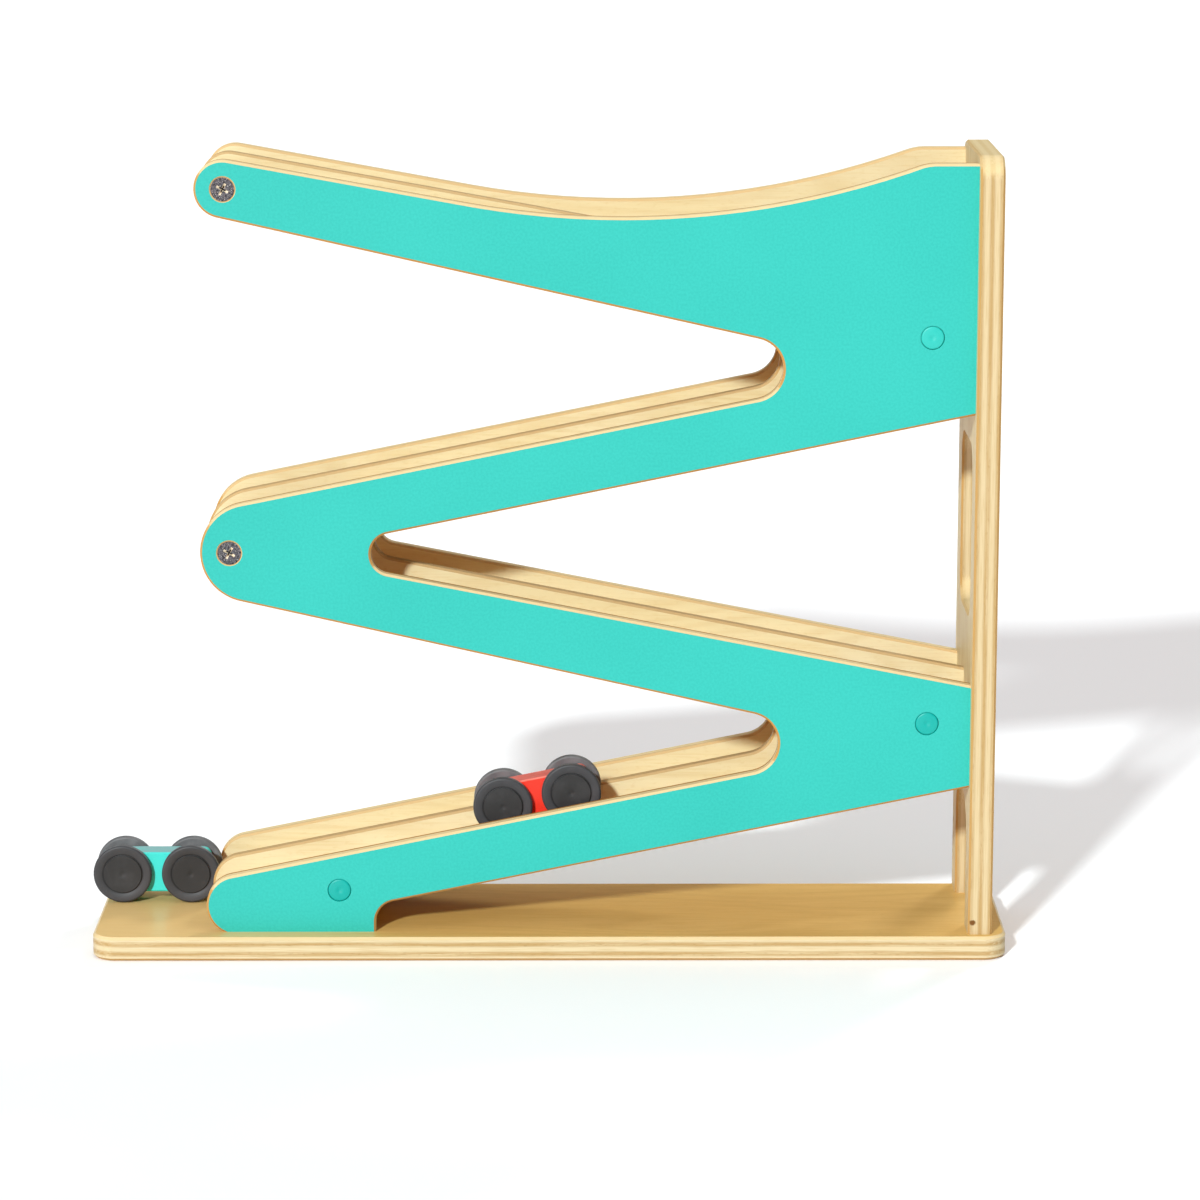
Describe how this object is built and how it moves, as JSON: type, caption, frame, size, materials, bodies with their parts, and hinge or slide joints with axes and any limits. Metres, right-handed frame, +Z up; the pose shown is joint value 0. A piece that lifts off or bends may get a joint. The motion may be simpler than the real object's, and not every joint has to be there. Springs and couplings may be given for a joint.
{
  "type": "click clack track toy",
  "caption": "Wooden zigzag track with two parallel lanes between three panels, on a base board and end board, with two small axle-and-wheel cars that tip from run to run.",
  "frame": {"origin": "centre of the base board's underside", "axes": "+X along the track towards the end board, +Y from the front panel to the rear panel, +Z up"},
  "size_m": [0.3439, 0.076, 0.298],
  "materials": {
    "base_plywood": "clear matt lacquer over birch plywood",
    "end_plywood": "clear matt lacquer over birch plywood",
    "thin_plywood": "clear matt lacquer over birch plywood",
    "floor_wood": "clear matt lacquer",
    "dowel_wood": "clear matt lacquer",
    "painted_plywood": "satin water-based paint on the outer face, bare plies at the edges",
    "teal_plug": "satin water-based paint",
    "red_paint": "satin water-based paint",
    "teal_paint": "satin water-based paint",
    "charcoal_plastic": "satin",
    "zinc_steel": "bright zinc plate"
  },
  "bodies": {
    "ramp": {"base_board": "base_plywood", "end_board": "end_plywood", "front_panel": "painted_plywood", "divider": "thin_plywood", "rear_panel": "painted_plywood", "run_1_front_slat": "floor_wood", "run_1_rear_slat": "floor_wood", "run_2_front_slat": "floor_wood", "run_2_rear_slat": "floor_wood", "run_3_front_slat": "floor_wood", "run_3_rear_slat": "floor_wood", "run_4_front_slat": "floor_wood", "run_4_rear_slat": "floor_wood", "start_dowel": "dowel_wood", "turn_dowel": "dowel_wood", "front_cross_dowels": "teal_plug", "rear_cross_dowels": "teal_plug", "front_panel_screws": "zinc_steel", "rear_panel_screws": "zinc_steel", "end_board_screws": "zinc_steel", "base_screws": "zinc_steel"},
    "red_car": {"red_car_body": "red_paint"},
    "red_front_wheels": {"red_front_axle": "zinc_steel", "red_front_wheel_near": "charcoal_plastic", "red_front_wheel_far": "charcoal_plastic"},
    "red_rear_wheels": {"red_rear_axle": "zinc_steel", "red_rear_wheel_near": "charcoal_plastic", "red_rear_wheel_far": "charcoal_plastic"},
    "teal_car": {"teal_car_body": "teal_paint"},
    "teal_front_wheels": {"teal_front_axle": "zinc_steel", "teal_front_wheel_near": "charcoal_plastic", "teal_front_wheel_far": "charcoal_plastic"},
    "teal_rear_wheels": {"teal_rear_axle": "zinc_steel", "teal_rear_wheel_near": "charcoal_plastic", "teal_rear_wheel_far": "charcoal_plastic"}
  },
  "joints": [
    {"name": "red_car_roll", "type": "slide", "parent": "ramp", "child": "red_car", "axis": [0.9799, 0, 0.1994], "range_m": [-0.096, 0.138]},
    {"name": "teal_car_roll", "type": "slide", "parent": "ramp", "child": "teal_car", "axis": [1, 0, 0], "range_m": [-0.006, 0.008]},
    {"name": "red_front_wheels_spin", "type": "hinge", "parent": "red_car", "child": "red_front_wheels", "pos_m": [-0.01724, -0.01175, 0.0543], "axis": [0, 1, 0], "continuous": true},
    {"name": "red_rear_wheels_spin", "type": "hinge", "parent": "red_car", "child": "red_rear_wheels", "pos_m": [0.00824, -0.01175, 0.05948], "axis": [0, 1, 0], "continuous": true},
    {"name": "teal_front_wheels_spin", "type": "hinge", "parent": "teal_car", "child": "teal_front_wheels", "pos_m": [-0.1628, 0.01775, 0.0204], "axis": [0, 1, 0], "continuous": true},
    {"name": "teal_rear_wheels_spin", "type": "hinge", "parent": "teal_car", "child": "teal_rear_wheels", "pos_m": [-0.1368, 0.01775, 0.0204], "axis": [0, 1, 0], "continuous": true}
  ]
}
